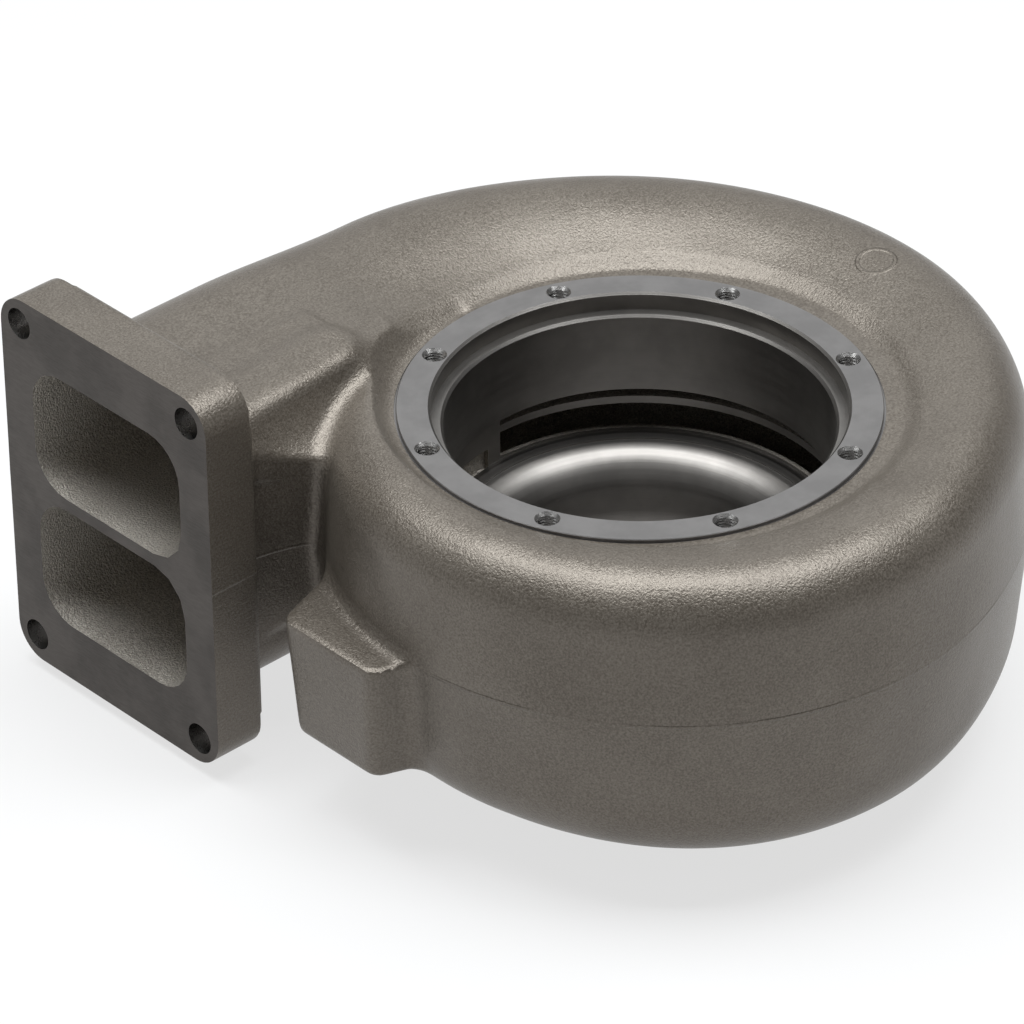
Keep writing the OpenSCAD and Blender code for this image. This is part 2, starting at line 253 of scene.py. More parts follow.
def spiral_field(r, turn, z):
    """The spiral's section at each turn: lip, rise and dome, drafted walls and underside."""
    out = spiral_radius(turn)
    top = crest(turn)
    low = underside(turn)
    lip = RING_R + LIP_WIDTH + LIP_SWING * np.cos(np.radians(turn - LIP_WIDEST_TURN))
    run = lerp(RISE_RUN_INLET, RISE_RUN_END, ease((turn - RISE_SHORTENS[0]) / RISE_SHORTENS[1]))
    room = out - 2.5 - lip - run
    corner = np.minimum(top_round(turn), 0.85 * room)
    dome_end = out - (top - corner - MID_Z) * math.tan(DRAFT_UP) - corner
    t = np.clip((r - lip - 0.6 * run) / (dome_end - lip - 0.6 * run), 0, 1)
    t = (np.sqrt(t * t + DOME_SOFTNESS) - DOME_START) / (math.sqrt(1 + DOME_SOFTNESS) - DOME_START)
    rise = -LIP_DROP + RISE * ease((r - lip) / run)
    surface = rise + (top - RISE + LIP_DROP) * np.sin(0.5 * math.pi * t)
    above = z - surface
    wall_up = (r - out + (z - MID_Z) * math.tan(DRAFT_UP)) * math.cos(DRAFT_UP)
    wall_down = (r - out + (MID_Z - z) * math.tan(DRAFT_DOWN)) * math.cos(DRAFT_DOWN)
    below = low - z
    bottom = np.minimum(BOTTOM_ROUND, 0.6 * (out - BELLY_R))
    skin = round_cut(wall_up, above, corner)
    skin = np.maximum(skin, round_cut(wall_down, below, bottom))
    return np.maximum(skin, round_cut(BELLY_R - r, below, BELLY_ROUND))


def ring_slope(x, y, z):
    """What is below the slope that rises from the ring's edge to the duct's top."""
    r = np.hypot(x, y)
    slope = SLOPE_RISE * ease((r - RING_R - SLOPE_GAP) / SLOPE_RISE) - LIP_DROP
    slope = slope + 5 * np.maximum(r - SLOPE_END_R, 0)
    # On a slope the surface is nearer than the height says
    return 0.75 * (z - slope)


def duct_field(x, y, z):
    """The duct's section, which turns into the spiral's where the spiral starts."""
    tilt = math.tan(DRAFT_UP)
    along = ease((x - WIDENING_X[0]) / WIDENING_X[1])
    inner = DUCT_INNER - DUCT_WIDENING * along * ease((z - WIDENING_Z[0]) / WIDENING_Z[1])
    above, below, near = z - CREST_INLET, DUCT_LOW - z, inner - y
    wall_up = (y - DUCT_OUTER + (z - MID_Z) * tilt) * math.cos(DRAFT_UP)
    wall_down = (y - DUCT_OUTER + (MID_Z - z) * tilt) * math.cos(DRAFT_UP)
    duct = round_cut(wall_up, above, TOP_ROUND_INLET)
    duct = np.maximum(duct, round_cut(near, above, DUCT_INNER_TOP_ROUND))
    duct = np.maximum(duct, round_cut(wall_down, below, DUCT_OUTER_LOW_ROUND))
    duct = np.maximum(duct, round_cut(near, below, DUCT_INNER_LOW_ROUND))
    start = spiral_field(np.maximum(y, 1), np.zeros_like(y), z)
    duct = lerp(duct, start, ease((x + DUCT_BLEND) / DUCT_BLEND))
    return round_cut(duct, ring_slope(x, y, z), SLOPE_ROUND)


def web_field(x, y, z):
    """The web that slopes from the duct's near corner down over the valley by the spiral."""
    above = plane_field(x, y, z, WEB_TOP, WEB_TOP_NORMAL)
    above = np.maximum(above, z - WEB_TOP[2] - WEB_RISE)
    wall = plane_field(x, y, z, WEB_EDGE, WEB_EDGE_NORMAL)
    web = round_cut(above, wall, WEB_ROUND)
    ends = np.maximum(x - WEB_END_X, FLANGE_X + 5 - x)
    web = np.maximum(np.maximum(web, WEB_FOOT - z), ends)
    return np.maximum(web, y - WEB_BACK_Y)


def boss_field(x, y, z):
    """The long pad on the duct, round at its free end and lower towards the flange."""
    (x0, y0), (x1, y1) = BOSS_ROOT, BOSS_END
    length = math.hypot(x1 - x0, y1 - y0)
    dx, dy = (x1 - x0) / length, (y1 - y0) / length
    along = np.clip((x - x0) * dx + (y - y0) * dy, 0, length)
    aside = np.hypot(x - x0 - along * dx, y - y0 - along * dy)
    top = BOSS_TOP - BOSS_FALL * (1 - along / length)
    from_dimple = (x - x1)**2 + (y - y1 - DIMPLE_OFFSET)**2
    dimple = DIMPLE_DEPTH * np.exp(-from_dimple / DIMPLE_SPREAD)
    side = aside - BOSS_R - BOSS_DRAFT * (BOSS_TOP - z)
    return np.maximum(round_cut(side, z - top + dimple, BOSS_ROUND), BOSS_FOOT - z)


def lug_field(x, y, z):
    """The tapered lug below the parting plane, flat on top."""
    taper = LUG_TAPER * (MID_Z - z) / (MID_Z - LUG_LOW)
    sides = [(x - px) * nx + (y - py) * ny + taper for (px, py), (nx, ny) in LUG_SIDES]
    plan = round_cut(round_cut(sides[0], sides[1], LUG_CORNER_BACK), sides[2], LUG_CORNER_NEAR)
    lug = round_cut(round_cut(plan, z - MID_Z, LUG_TOP_ROUND), LUG_LOW - z, LUG_LOW_ROUND)
    return np.maximum(lug, x - LUG_FACE_X - LUG_DEPTH_IN)


def hub_field(r, z):
    """The solid round the wheel axis and the outlet neck below it."""
    hub = np.maximum(r - RING_R - HUB_MARGIN, z + LIP_DROP)
    cone = HUB_UNDER_Z - HUB_UNDER_SLOPE * (HUB_UNDER_R - r) - z
    cone = cone * math.cos(math.atan(HUB_UNDER_SLOPE))
    neck = np.maximum(np.maximum(r - NECK_R, OUTLET_Z + 2 - z), z - MID_Z)
    return round_join(np.maximum(hub, cone), neck, NECK_FILLET)


def flange_field(x, y, z):
    """The flange plate with its cast edges, left thick in front for milling."""
    plate = box_field(y - FLANGE_Y, z - FLANGE_Z, FLANGE_W / 2, FLANGE_H / 2, FLANGE_CORNER)
    front, back = FLANGE_X - MILLING_STOCK, FLANGE_X + FLANGE_T
    return round_cut(plate, np.maximum(front - x, x - back), FLANGE_EDGE_ROUND)


def skin_field(x, y, z):
    """The whole casting without its passages."""
    r = np.hypot(x, y)
    turn = np.degrees(np.arctan2(x, y)) % 360
    spiral = np.maximum(spiral_field(r, turn, z), (turn - SKIN_END_TURN) * np.pi / 180 * r)
    hub = hub_field(r, z)
    body = np.minimum(spiral, hub)
    valley = round_join(spiral, hub, VALLEY_FILLET)
    body = np.where(z < MID_Z, valley, body)
    well_inside = -99
    ends = np.maximum(duct_field(x, y, z), FLANGE_X - x)
    duct = np.maximum(ends, np.where(x < 0, well_inside, x))
    duct = round_join(duct, web_field(x, y, z), WEB_FILLET)
    duct = round_join(duct, boss_field(x, y, z), BOSS_FILLET)
    sharp = np.minimum(body, duct)
    joined = np.where(x < FADE_X, round_join(body, duct, DUCT_FILLET), sharp)
    joined = np.maximum(joined, ring_slope(x, y, z))
    body = lerp(sharp, joined, ease((FADE_X - x) / FADE_LENGTH))
    body = round_join(body, lug_field(x, y, z), LUG_FILLET)
    return round_join(body, flange_field(x, y, z), FLANGE_FILLET)


# From a field to a mesh

def corner_values(field, cells):
    """The field at the eight corners of each cell."""
    i, j, k = cells.T
    return {(a, b, c): field[i + a, j + b, k + c] for a in (0, 1) for b in (0, 1) for c in (0, 1)}


def settle(points, field):
    """Moves grid points onto the field's surface, along its slope, in two steps."""
    top = np.array(field.shape) - 2
    for _ in range(2):
        cells = np.clip(np.floor(points).astype(int), 0, top)
        f = points - cells
        value = 0
        slope = np.zeros_like(points)
        for corner, v in corner_values(field, cells).items():
            w = [f[:, n] if bit else 1 - f[:, n] for n, bit in enumerate(corner)]
            value = value + v * w[0] * w[1] * w[2]
            for n in range(3):
                others = w[(n + 1) % 3] * w[(n + 2) % 3]
                slope[:, n] += v * others * (1 if corner[n] else -1)
        # A point moves by 0.4 of a cell at most, and not at all where the field is flat
        step = value / np.maximum((slope**2).sum(1), 1e-6)
        points = points - np.clip(slope * step[:, None], -0.4, 0.4)
    return points


def field_mesh(field, origin, step):
    """One vertex in each cell that the surface crosses, joined in quads."""
    inside = field < 0
    n = [s - 1 for s in field.shape]
    count = np.zeros(n, np.int8)
    for a in (0, 1):
        for b in (0, 1):
            for c in (0, 1):
                count += inside[a:n[0] + a, b:n[1] + b, c:n[2] + c]
    active = (count > 0) & (count < 8)
    number = np.full(n, -1)
    cells = np.argwhere(active)
    number[active] = np.arange(len(cells))
    values = corner_values(field, cells)
    total, hits = np.zeros((len(cells), 3)), np.zeros(len(cells))
    for a in values:
        for axis in range(3):
            if a[axis]:
                continue
            b = tuple(1 if m == axis else bit for m, bit in enumerate(a))
            crossed = (values[a] < 0) != (values[b] < 0)
            t = values[a] / np.where(crossed, values[a] - values[b], 1)
            point = np.tile(np.array(a, float), (len(cells), 1))
            point[:, axis] += t
            total += point * crossed[:, None]
            hits += crossed
    points = settle(cells + total / hits[:, None], field)
    quads = []
    for axis in range(3):
        u, v = (axis + 1) % 3, (axis + 2) % 3
        here = [slice(1, -1)] * 3
        here[axis] = slice(0, -1)
        ahead = list(here)
        ahead[axis] = slice(1, None)
        start, end = inside[tuple(here)], inside[tuple(ahead)]
        edges = np.argwhere(start != end)
        leaving = start[tuple(edges.T)]
        edges = edges + [0 if m == axis else 1 for m in range(3)]
        unit_u, unit_v = np.eye(3, dtype=int)[u], np.eye(3, dtype=int)[v]
        ring = [number[tuple((edges - s * unit_u - t * unit_v).T)]
                for s, t in ((0, 0), (1, 0), (1, 1), (0, 1))]
        quad = np.stack(ring, 1)
        quad[~leaving] = quad[~leaving][:, ::-1]
        quads.append(quad)
    return origin + points * step, np.concatenate(quads)


def new_object(name, points, faces, material=CAST):
    """An object from points in millimetres, with every material in its slots."""
    mesh = bpy.data.meshes.new(name)
    mesh.from_pydata((np.asarray(points) * MM).tolist(), [], faces)
    for slot in materials:
        mesh.materials.append(slot)
    mesh.polygons.foreach_set("material_index", np.full(len(mesh.polygons), material, np.int32))
    mesh.update()
    obj = bpy.data.objects.new(name, mesh)
    bpy.context.scene.collection.objects.link(obj)
    return obj


def bake(obj):
    """Turns an object's modifiers into its own mesh."""
    depsgraph = bpy.context.evaluated_depsgraph_get()
    mesh = bpy.data.meshes.new_from_object(obj.evaluated_get(depsgraph))
    obj.modifiers.clear()
    obj.data = mesh


def combine(obj, tool, operation):
    """Cuts the tool out of the object, or joins it on, and removes the tool."""
    modifier = obj.modifiers.new(operation.title(), "BOOLEAN")
    modifier.operation = operation
    modifier.solver = "MANIFOLD"
    modifier.object = tool
    bake(obj)
    bpy.data.objects.remove(tool)


# Shapes that are turned, lofted or drilled

def revolve(name, profile, material, closed=False):
    """Turns a profile of radius and height round Z. An open profile starts and ends on the
    axis. Its points run so that the solid lies to their left."""
    segments = 240
    angles = np.arange(segments) * 2 * math.pi / segments
    points, rings = [], []
    for radius, height in profile:
        if radius == 0:
            rings.append([len(points)] * segments)
            points.append((0, 0, height))
            continue
        rings.append([len(points) + i for i in range(segments)])
        points += [(radius * math.cos(a), radius * math.sin(a), height) for a in angles]
    following = rings[1:] + rings[:1] if closed else rings[1:]
    faces = []
    for low, high in zip(rings, following):
        for i in range(segments):
            j = (i + 1) % segments
            face = [low[i], low[j], high[j], high[i]]
            faces.append(list(dict.fromkeys(face)))
    return new_object(name, points, faces, material)


def loft(name, rings, material):
    """A closed tube through rings of equally many points."""
    count = len(rings[0])
    points = np.concatenate(rings)
    faces = [[j * count + i, j * count + (i + 1) % count, (j + 1) * count + (i + 1) % count,
              (j + 1) * count + i] for j in range(len(rings) - 1) for i in range(count)]
    faces.append(list(range(count))[::-1])
    faces.append([(len(rings) - 1) * count + i for i in range(count)])
    return new_object(name, points, faces, material)


def arc(cx, cy, radius, start, stop, parts):
    """Points on an arc, from one angle to another in degrees."""
    a = np.radians(np.linspace(start, stop, parts + 1))
    return np.stack([cx + radius * np.cos(a), cy + radius * np.sin(a)], 1)


def gas_section(turn, upper, mouth):
    """Section of a passage in the spiral: reach, and height from the parting plane."""
    out = float(spiral_radius(turn)) - WALL
    top, low = float(crest(turn)), float(underside(turn))
    far = top - WALL - MID_Z if upper else MID_Z - WALL - low
    near = far - top - 1 if upper else far
    slot = DIVIDER / 2 + (UPPER_SLOT if upper else LOWER_SLOT)
    side = SIDE_UPPER if upper else SIDE_LOWER
    round_far = (float(top_round(turn)) if upper else BOTTOM_ROUND) - WALL
    round_far = min(round_far, 0.4 * (out - side))
    round_near = min(9, 0.25 * (out - side))
    base = DIVIDER / 2
    far_out = out - (far - round_far) * math.tan(DRAFT_UP)
    return np.concatenate([
        [[mouth, base]],
        arc(out - round_near - 1, base + round_near + 0.7, round_near, -90, 0, 6),
        arc(far_out - round_far, far - round_far, round_far, 0, 90, 9),
        arc(side + round_near + 1, near - round_near, round_near, 90, 180, 6),
        [[side, slot + 13], [max(THROAT_R + 2, mouth + 0.5), slot], [mouth, slot - 0.8]]])


def port_section():
    """The port at the flange's face, with as many points."""
    inner, outer = FLANGE_Y - PORT_W / 2, FLANGE_Y + PORT_W / 2
    low, high, radius = PORT_RIB / 2, PORT_RIB / 2 + PORT_H, PORT_CORNER
    corner = arc(inner + radius, low + radius, radius, 180, 270, 3)
    return np.concatenate([
        corner[3:],
        arc(outer - radius, low + radius, radius, -90, 0, 6),
        arc(outer - radius, high - radius, radius, 0, 90, 9),
        arc(inner + radius, high - radius, radius, 90, 180, 6),
        corner[:3]])


def passage(upper):
    """The way from one port through the duct and round the spiral into the throat."""
    sign = 1 if upper else -1
    mouth, nose = THROAT_R - 4, RECESS_R + 4.5
    slot_middle = (DIVIDER + (UPPER_SLOT if upper else LOWER_SLOT)) / 2
    port, start = port_section(), gas_section(0, upper, nose)
    rings = []
    for x in DUCT_STATIONS:
        flat = lerp(port, start, ease((x - PORT_END_X) / PORT_CHANGE))
        rings.append(np.stack([np.full(len(flat), float(x)), flat[:, 0], MID_Z + sign * flat[:, 1]], 1))
    for turn in SPIRAL_STATIONS:
        keep = 1 - TAIL_SHRINK * float(ease((turn - TAIL_TURN) / TAIL_TURNS))
        flat = lerp(np.array([mouth, slot_middle]), gas_section(turn, upper, mouth), keep)
        s, c = math.sin(math.radians(turn)), math.cos(math.radians(turn))
        rings.append(np.stack([flat[:, 0] * s, flat[:, 0] * c, MID_Z + sign * flat[:, 1]], 1))
    if not upper:
        rings = [ring[::-1] for ring in rings]
    return loft("passage", rings, PASSAGE)


def bore_profile():
    """Recess, bore, throat, wheel shroud and outlet, from the top of the axis to its foot."""
    throat_low = MID_Z - DIVIDER / 2 - LOWER_SLOT
    lip_in = SHROUD_LIP_R - SHROUD_LIP_WIDTH
    edge = 0.4
    shroud = [(EXDUCER_R + (lip_in - EXDUCER_R) * (1 - math.sin(a)),
               throat_low - edge - (SHROUD_LENGTH - edge) * (1 - math.cos(a)))
              for a in np.radians(np.arange(0, 91, 5))]
    return [(0, 30), (RECESS_R + RECESS_CHAMFER + 30, 30), (RECESS_R + RECESS_CHAMFER, 0),
            (RECESS_R, -RECESS_CHAMFER), (RECESS_R, -RECESS_DEPTH), (BORE_R + 1, -RECESS_DEPTH),
            (BORE_R, -RECESS_DEPTH - 1), (BORE_R, -BORE_DEPTH), (THROAT_R, -BORE_DEPTH),
            (THROAT_R, throat_low - SHROUD_LIP_HEIGHT), (SHROUD_LIP_R, throat_low - SHROUD_LIP_HEIGHT),
            (SHROUD_LIP_R, throat_low), (lip_in, throat_low)] + shroud + [
                (EXDUCER_R, throat_low - SHROUD_LENGTH - EXDUCER_LENGTH), (OUTLET_R, OUTLET_Z + 6),
                (OUTLET_R, OUTLET_Z + OUTLET_CHAMFER), (OUTLET_R + OUTLET_CHAMFER + 3, OUTLET_Z - 3),
                (0, OUTLET_Z - 3)]


def threaded_hole(name, angle):
    """A tapped hole with a helical thread and a countersunk mouth."""
    around, per_pitch = 24, 5
    sink = TAP_MOUTH_R - TAP_R
    thread_foot = -TAP_DEPTH + TAP_RUNOUT
    heights = [1.0, -sink] + list(np.arange(-sink - 0.5, thread_foot, -THREAD_PITCH / per_pitch))
    heights += [-TAP_DEPTH + 2, -TAP_DEPTH]
    cx, cy = BOLT_CIRCLE_R * math.cos(angle), BOLT_CIRCLE_R * math.sin(angle)
    points, faces = [(cx, cy, heights[0])], []
    for i, z in enumerate(heights):
        for j in range(around):
            a = 2 * math.pi * j / around
            phase = (z / THREAD_PITCH - j / around) % 1
            depth = (THREAD_R - TAP_R) * (1 - abs(2 * phase - 1))
            radius = TAP_R + (depth if 1 < i < len(heights) - 2 else 0)
            if i == 0:
                radius = TAP_R + sink + 1.0
            points.append((cx + radius * math.cos(a), cy + radius * math.sin(a), z))
    points.append((cx, cy, heights[-1] - TAP_TIP))
    last = len(points) - 1
    for j in range(around):
        k = (j + 1) % around
        faces.append([0, 1 + j, 1 + k])
        for i in range(len(heights) - 1):
            top, low = 1 + i * around, 1 + (i + 1) * around
            faces.append([top + j, low + j, low + k, top + k])
        foot = 1 + (len(heights) - 1) * around
        faces.append([foot + j, last, foot + k])
    return new_object(name, points, faces, DRILLED)


def cylinder_x(name, x0, x1, y, z, radius, material, segments=48):
    """A cylinder along X."""
    rings = []
    for x in (x0, x1):
        ring = arc(y, z, radius, 0, 360 * (segments - 1) / segments, segments - 1)
        rings.append(np.stack([np.full(segments, x), ring[:, 0], ring[:, 1]], 1))
    return loft(name, rings, material)


def joined(name, objects):
    """Several separate tools as one object."""
    points, faces, index, start = [], [], [], 0
    for obj in objects:
        co = np.empty(len(obj.data.vertices) * 3)
        obj.data.vertices.foreach_get("co", co)
        points.append(co.reshape(-1, 3) / MM)
        faces += [[start + v for v in polygon.vertices] for polygon in obj.data.polygons]
        index += [polygon.material_index for polygon in obj.data.polygons]
        start += len(obj.data.vertices)
        bpy.data.objects.remove(obj)
    tool = new_object(name, np.concatenate(points), faces)
    tool.data.polygons.foreach_set("material_index", np.array(index, np.int32))
    return tool


# Materials

class Nodes:
    """A material's node tree, with one short call a node."""

    def __init__(self, name):
        self.material = bpy.data.materials.new(name)
        self.material.use_nodes = True
        self.tree = self.material.node_tree
        self.shader = self.tree.nodes["Principled BSDF"]
        self.output = self.tree.nodes["Material Output"]

    def add(self, kind, inputs=(), **settings):
        node = self.tree.nodes.new(kind)
        for key, value in settings.items():
            setattr(node, key, value)
        for key, value in dict(inputs).items():
            if isinstance(value, bpy.types.NodeSocket):
                self.tree.links.new(value, node.inputs[key])
            else:
                node.inputs[key].default_value = value
        return node

    def math(self, operation, a, b=0.0):
        return self.add("ShaderNodeMath", {0: a, 1: b}, operation=operation).outputs[0]

    def noise(self, where, scale, detail=2.0, roughness=0.5):
        node = self.add("ShaderNodeTexNoise", {"Vector": where, "Scale": scale, "Detail": detail,
                                               "Roughness": roughness})
        return node.outputs[0]

    def ramp(self, value, low, high, to_low=0.0, to_high=1.0):
        node = self.add("ShaderNodeMapRange", {"Value": value, "From Min": low, "From Max": high,
                                               "To Min": to_low, "To Max": to_high},
                        interpolation_type="SMOOTHSTEP")
        return node.outputs[0]

    def mix(self, factor, a, b):
        node = self.add("ShaderNodeMix", {"Factor": factor, "A": a, "B": b}, data_type="RGBA")
        return node.outputs["Result"]

    def split(self, vector):
        return self.add("ShaderNodeSeparateXYZ", {0: vector}).outputs

    def place(self):
        """The point on the part, in millimetres."""
        coords = self.add("ShaderNodeTexCoord").outputs["Object"]
        return self.add("ShaderNodeVectorMath", {0: coords, "Scale": 1 / MM},
                        operation="SCALE").outputs[0]

    def bump(self, height):
        """A bump by a height in millimetres."""
        return self.add("ShaderNodeBump", {"Height": height, "Strength": 1.0, "Distance": MM}).outputs[0]

    def finish(self, **inputs):
        """Sets or links the shader's sockets, each named with _ for a space."""
        for key, value in inputs.items():
            socket = self.shader.inputs[key.replace("_", " ")]
            if isinstance(value, bpy.types.NodeSocket):
                self.tree.links.new(value, socket)
            else:
                socket.default_value = value
        return self.material


def darker(colour, share):
    return [c * share for c in colour[:3]] + [1]


def parting_line(n, z, patches):
    """A fine raised line round the parting plane, faint in places."""
    drop = n.math("ABSOLUTE", n.math("SUBTRACT", z, MID_Z + PARTING_OFFSET))
    line = n.ramp(drop, 0.9, 0.2)
    line = n.math("MULTIPLY", line, n.ramp(patches, 0.4, 0.6, 0.25, 0.9))
    return n.math("MULTIPLY", line, PARTING_HEIGHT)


def dome_mark(n, x, y, z):
    """A small raised ring on the dome, with nothing in it."""
    around = n.math("SQRT", n.math("ADD", n.math("POWER", n.math("SUBTRACT", x, MARK_X), 2.0),
                                   n.math("POWER", y, 2.0)))
    off = n.math("ABSOLUTE", n.math("SUBTRACT", around, MARK_R))
    mark = n.math("MULTIPLY", n.ramp(off, 1.1, 0.3), n.ramp(z, 0.0, 2.0))
    return n.math("MULTIPLY", mark, MARK_HEIGHT)


def cast_iron(name, dark, light, grain, marks=True):
    """Shot-blasted casting: a sparkling grain over a slightly uneven skin."""
    n = Nodes(name)
    where = n.place()
    fine = n.noise(where, 1.25, 2.0, 0.65)
    coarse = n.noise(where, 0.5, 2.0, 0.6)
    patches = n.noise(where, 0.03, 3.0, 0.55)
    swell = n.noise(where, 0.02, 1.0)
    tint = n.math("ADD", n.math("MULTIPLY", patches, 0.2), n.math("MULTIPLY", fine, 0.8))
    colour = n.mix(n.ramp(tint, 0.28, 0.74), dark, light)
    height = n.math("MULTIPLY", fine, grain)
    height = n.math("ADD", height, n.math("MULTIPLY", coarse, 0.5 * grain))
    height = n.math("ADD", height, n.math("MULTIPLY", swell, 3.0))
    if marks:
        x, y, z = n.split(where)
        height = n.math("ADD", height, parting_line(n, z, patches))
        height = n.math("ADD", height, dome_mark(n, x, y, z))
    rough = n.ramp(fine, 0.3, 0.7, 0.28, 0.40)
    return n.finish(Base_Color=colour, Metallic=0.45, Roughness=rough, Normal=n.bump(height))


def turned_iron(name, colour, roughness, line_height):
    """Lathe-turned iron: faint rings round the wheel axis."""
    n = Nodes(name)
    where = n.place()
    x, y, z = n.split(where)
    radius = n.math("SQRT", n.math("ADD", n.math("MULTIPLY", x, x), n.math("MULTIPLY", y, y)))
    ring = n.add("ShaderNodeCombineXYZ", {0: radius, 1: z, 2: 0.0}).outputs[0]
    lines = n.noise(ring, 2.2, 2.0, 0.7)
    bands = n.noise(ring, 0.35, 1.0)
    stain = n.noise(where, 0.06, 3.0, 0.6)
    tint = n.mix(n.ramp(stain, 0.35, 0.65), darker(colour, 0.86), colour)
    rough = n.math("ADD", n.ramp(lines, 0.3, 0.7, roughness - 0.05, roughness + 0.05),
                   n.ramp(bands, 0.3, 0.7, -0.03, 0.03))
    return n.finish(Base_Color=tint, Metallic=1.0, Roughness=rough,
                    Normal=n.bump(n.math("MULTIPLY", lines, line_height)))


def milled_iron(name, colour, roughness):
    """Milled iron: a fine cross grain, and a faint stain."""
    n = Nodes(name)
    where = n.place()
    stretched = n.add("ShaderNodeVectorMath", {0: where, 1: (1.0, 0.25, 2.4)},
                      operation="MULTIPLY").outputs[0]
    lines = n.noise(stretched, 0.9, 3.0, 0.6)
    stain = n.noise(where, 0.045, 3.0, 0.6)
    tint = n.mix(n.ramp(stain, 0.35, 0.65), darker(colour, 0.75), colour)
    rough = n.ramp(lines, 0.3, 0.7, roughness - 0.06, roughness + 0.08)
    return n.finish(Base_Color=tint, Metallic=1.0, Roughness=rough,
                    Normal=n.bump(n.math("MULTIPLY", lines, 0.05)))


# In the order of CAST, PASSAGE, TURNED, BORED, MILLED and DRILLED
materials = [
    cast_iron("cast_iron", (0.088, 0.073, 0.058, 1), (0.182, 0.160, 0.134, 1), 0.24),
    # Painted light: the passages are the same cast iron, coloured about three times lighter to stand in
    # for light reaching into the ports
    cast_iron("passage_iron", (0.27, 0.242, 0.21, 1), (0.60, 0.56, 0.50, 1), 0.60, marks=False),
    turned_iron("turned_iron", (0.265, 0.255, 0.250, 1), 0.34, 0.02),
    turned_iron("bored_iron", (0.205, 0.194, 0.182, 1), 0.40, 0.02),
    # Painted shade: the milled flange face is coloured much darker than the turned faces, to stand in
    # for shade on the face that looks away from the lamps
    milled_iron("milled_iron", (0.080, 0.072, 0.066, 1), 0.40),
    turned_iron("drilled_iron", (0.36, 0.35, 0.34, 1), 0.30, 0.03),
]


# The housing

def cast_skin():
    """The casting's outside as a mesh, with most triangles where it curves."""
    low = np.array([c / MM for c in cad_box[0]]) - 9
    high = np.array([c / MM for c in cad_box[1]]) + 4
    axes = [np.arange(a, b, FIELD_STEP) for a, b in zip(low, high)]
    x, y, z = np.meshgrid(*axes, indexing="ij", sparse=True)
    slab = 24
    field = np.concatenate([skin_field(x[i:i + slab], y, z) for i in range(0, len(axes[0]), slab)])
    points, quads = field_mesh(field, low, FIELD_STEP)
    skin = new_object("turbine_housing_cast", points, quads.tolist())
    fewer = skin.modifiers.new("Fewer", "DECIMATE")
    fewer.ratio = min(1.0, SKIN_TRIANGLES / (2 * len(quads)))
    bake(skin)
    return skin


def facing_cut():
    """The cut that clears the skin from over the ring."""
    radius, foot = RING_R + 0.7, -LIP_DROP - 0.4
    return revolve("facing", [(0, foot), (radius, foot), (radius, 40), (0, 40)], TURNED)


def ring_insert():
    """The machined ring, standing a little above the cast lip."""
    inner, chamfer = 60, 0.3
    return revolve("ring", [(inner, -RING_INSERT_DEPTH), (RING_R, -RING_INSERT_DEPTH),
                            (RING_R, -chamfer), (RING_R - chamfer, 0), (inner, 0)],
                   TURNED, closed=True)


def rim_insert():
    """The turned end of the outlet neck, with the rim that a band clamp holds."""
    inner, neck = 45, NECK_R + 0.4
    top = OUTLET_Z + RIM_HEIGHT
    cone_top = top + (RIM_R - NECK_R) * math.tan(RIM_CONE)
    return revolve("rim", [(inner, OUTLET_Z), (RIM_R - RIM_CHAMFER[0], OUTLET_Z),
                           (RIM_R, OUTLET_Z + RIM_CHAMFER[1]), (RIM_R, top), (neck, cone_top),
                           (neck, cone_top + 5), (inner, cone_top + 5)],
                   TURNED, closed=True)


def flange_tools():
    """The cutter that mills the flange's face, and the drills and spot facers."""
    span = np.array([[-20, -20], [260, -20], [260, 260], [-20, 260]], float)
    face = loft("mill", [np.stack([np.full(4, x), span[:, 0], span[:, 1] - 180], 1)
                         for x in (FLANGE_X - 20, FLANGE_X)], MILLED)
    back = FLANGE_X + FLANGE_T
    drills, spots = [], []
    for i in (-1, 1):
        for j in (-1, 1):
            y, z = FLANGE_Y + i * FLANGE_PITCH_W / 2, FLANGE_Z + j * FLANGE_PITCH_H / 2
            drills.append(cylinder_x("drill", FLANGE_X - 1, back + 2, y, z, FLANGE_HOLE_R, DRILLED))
            spots.append(cylinder_x("spot", back - SPOT_FACE_DEPTH, back + 4, y, z, SPOT_FACE_R,
                                    TURNED, 64))
    return face, joined("drills", drills), joined("spots", spots)


def housing():
    """The casting with its passages, machined faces and holes."""
    skin = cast_skin()
    combine(skin, facing_cut(), "DIFFERENCE")
    combine(skin, passage(True), "DIFFERENCE")
    combine(skin, passage(False), "DIFFERENCE")
    combine(skin, ring_insert(), "UNION")
    combine(skin, rim_insert(), "UNION")
    combine(skin, revolve("bore", bore_profile()[::-1], BORED), "DIFFERENCE")
    taps = [threaded_hole("tap", (i + 0.5) * 2 * math.pi / BOLT_COUNT) for i in range(BOLT_COUNT)]
    combine(skin, joined("taps", taps), "DIFFERENCE")
    for tool in flange_tools():
        combine(skin, tool, "DIFFERENCE")
    skin.data.shade_smooth()
    skin.data.set_sharp_from_angle(angle=SHARP_ANGLE)
    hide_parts("turbine_housing")
    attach(skin, "root")


# The camera, from the photograph's perspective

CAMERA_AT = (-1351.238, -1390.986, 1247.776)
CAMERA_RIGHT = (0.72967289, -0.68374126, -0.00868129)
CAMERA_UP = (0.38488331, 0.40017872, 0.83169816)
CAMERA_BACK = (-0.56519228, -0.61020888, 0.55516017)
SENSOR = 36
FOCAL_PIXELS, FRAME_PIXELS = 6443.48, 1024


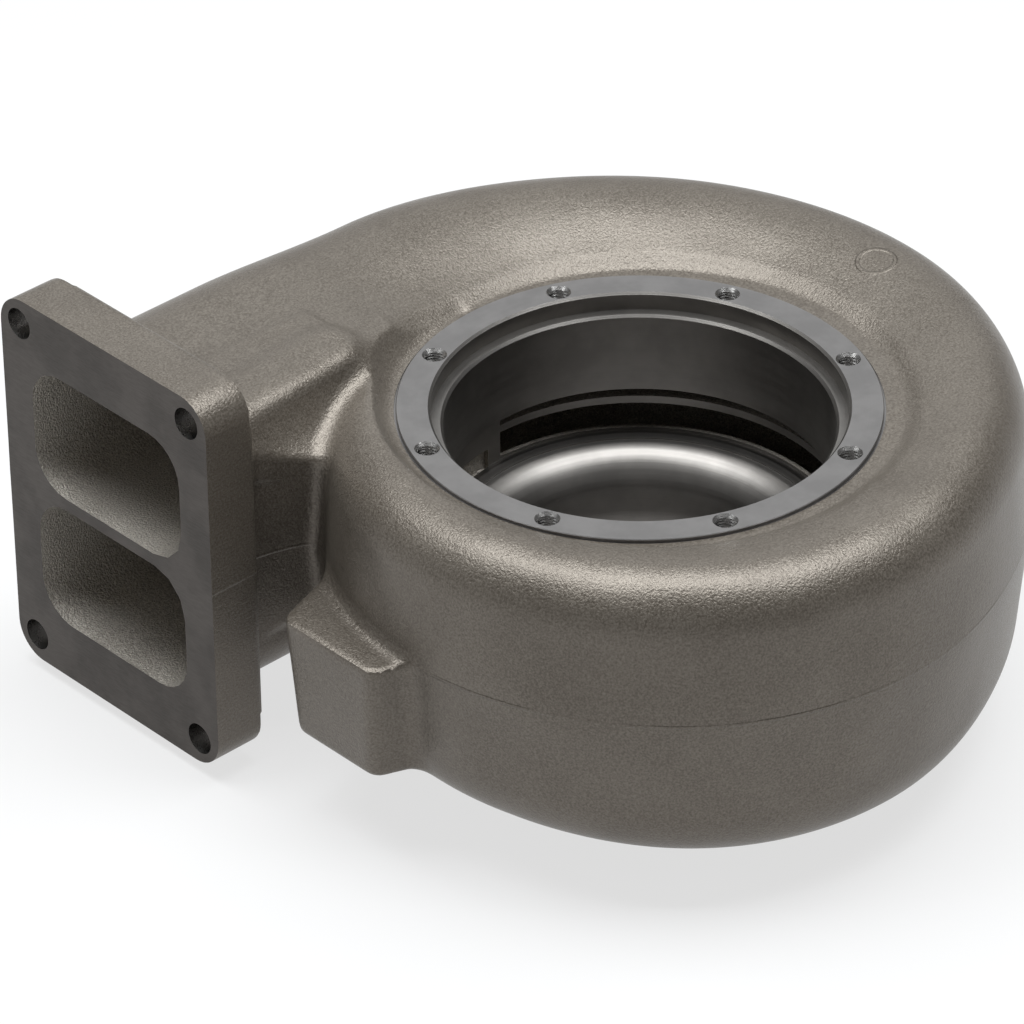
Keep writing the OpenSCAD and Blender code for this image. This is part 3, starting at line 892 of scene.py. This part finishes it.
def photo_camera():
    data = bpy.data.cameras.new("camera")
    data.sensor_width = SENSOR
    data.lens = FOCAL_PIXELS / FRAME_PIXELS * SENSOR
    data.clip_start, data.clip_end = 0.1, 50
    camera = bpy.data.objects.new("camera", data)
    axes = Matrix((CAMERA_RIGHT, CAMERA_UP, CAMERA_BACK)).transposed().to_4x4()
    camera.matrix_world = Matrix.Translation([c * MM for c in CAMERA_AT]) @ axes
    bpy.context.scene.collection.objects.link(camera)
    bpy.context.scene.camera = camera


# The studio, in metres

FLOOR_REACH = 12
FLOOR_GLOW = 0.7
LAMP_COLOUR = (0.95, 0.98, 1.0)
LAMP_AIM = (0, 0.02, -0.05)
LAMPS = (
    # name, place, width, height, watts
    ("overhead left", (-0.30, 0.36, 1.3), 0.7, 0.9, 20),
    ("overhead right", (0.34, -0.24, 1.3), 0.7, 0.9, 20),
    ("behind", (1.0, 1.1, 0.9), 2.2, 1.0, 6),
    ("left", (-1.3, 0.9, 0.7), 0.8, 0.8, 1.2),
)
WORLD_STRENGTH = 0.17


def pale_floor(height):
    """A white floor that keeps the part's shadow."""
    n = Nodes("floor")
    n.finish(Base_Color=(0.64, 0.64, 0.64, 1), Roughness=0.9, Specular_IOR_Level=0.0)
    path = n.add("ShaderNodeLightPath").outputs
    seen = n.math("MAXIMUM", path["Is Camera Ray"], path["Is Glossy Ray"])
    seen = n.math("MAXIMUM", seen, path["Is Transmission Ray"])
    glow = n.add("ShaderNodeEmission", {"Color": (1, 1, 1, 1), "Strength": 1.0}).outputs[0]
    mixed = n.add("ShaderNodeMixShader", {0: n.math("MULTIPLY", seen, FLOOR_GLOW),
                                          1: n.shader.outputs[0], 2: glow}).outputs[0]
    n.tree.links.new(mixed, n.output.inputs["Surface"])
    mesh = bpy.data.meshes.new("floor")
    corners = ((-1, -1), (1, -1), (1, 1), (-1, 1))
    mesh.from_pydata([(x * FLOOR_REACH, y * FLOOR_REACH, height) for x, y in corners], [],
                     [(0, 1, 2, 3)])
    mesh.materials.append(n.material)
    floor = bpy.data.objects.new("floor", mesh)
    bpy.context.scene.collection.objects.link(floor)


def area_light(name, place, width, height, power):
    data = bpy.data.lights.new(name, "AREA")
    data.shape = "RECTANGLE"
    data.size, data.size_y = width, height
    data.energy = power
    data.color = LAMP_COLOUR
    light = bpy.data.objects.new(name, data)
    direction = Matrix.Translation(place).translation - Matrix.Translation(LAMP_AIM).translation
    light.rotation_euler = direction.to_track_quat("Z", "Y").to_euler()
    light.location = place
    bpy.context.scene.collection.objects.link(light)


def studio():
    """Four soft lamps and a dim white world."""
    for lamp in LAMPS:
        area_light(*lamp)
    world = bpy.data.worlds.new("studio")
    world.use_nodes = True
    background = world.node_tree.nodes["Background"]
    background.inputs["Color"].default_value = (1, 1, 1, 1)
    background.inputs["Strength"].default_value = WORLD_STRENGTH
    bpy.context.scene.world = world


housing()
photo_camera()
pale_floor(OUTLET_Z * MM)
studio()
bpy.context.scene.view_settings.view_transform = "Standard"
